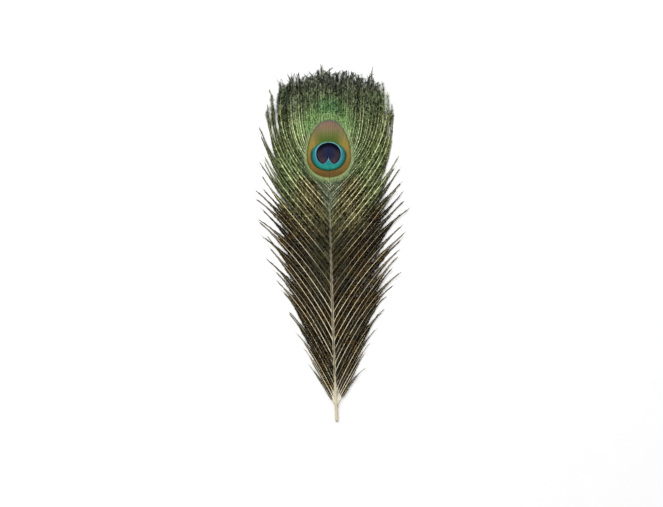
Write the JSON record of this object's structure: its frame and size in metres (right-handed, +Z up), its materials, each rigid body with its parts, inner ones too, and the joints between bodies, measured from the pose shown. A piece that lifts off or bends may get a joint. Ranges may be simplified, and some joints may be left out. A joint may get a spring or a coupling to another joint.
{
  "type": "peacock feather",
  "caption": "Peacock's eye feather lying flat: a bare horn quill, loose sweeping barbs to each side, a closed eye at the end and a fringed crown above it.",
  "frame": {"origin": "middle of the bounding box, on the surface that the feather lies on", "axes": "+Z up out of the feather's upper side, +Y along the shaft from the quill end to the crown, +X to the right seen from above"},
  "size_m": [0.1242, 0.2816, 0.0033],
  "materials": {
    "shaft": "smooth tan horn, paler at the quill, with a soft sheen",
    "barbs": "dark brown to olive barbules on tan barb stems, with a silky bronze to green sheen",
    "eye": "closed, finely streaked vane with dark blue heart, turquoise ring, bronze oval and green halo, satin sheen"
  },
  "bodies": {
    "root": {"shaft": "shaft", "left_vane": "barbs", "right_vane": "barbs", "eye_vane": "eye"}
  },
  "joints": []
}
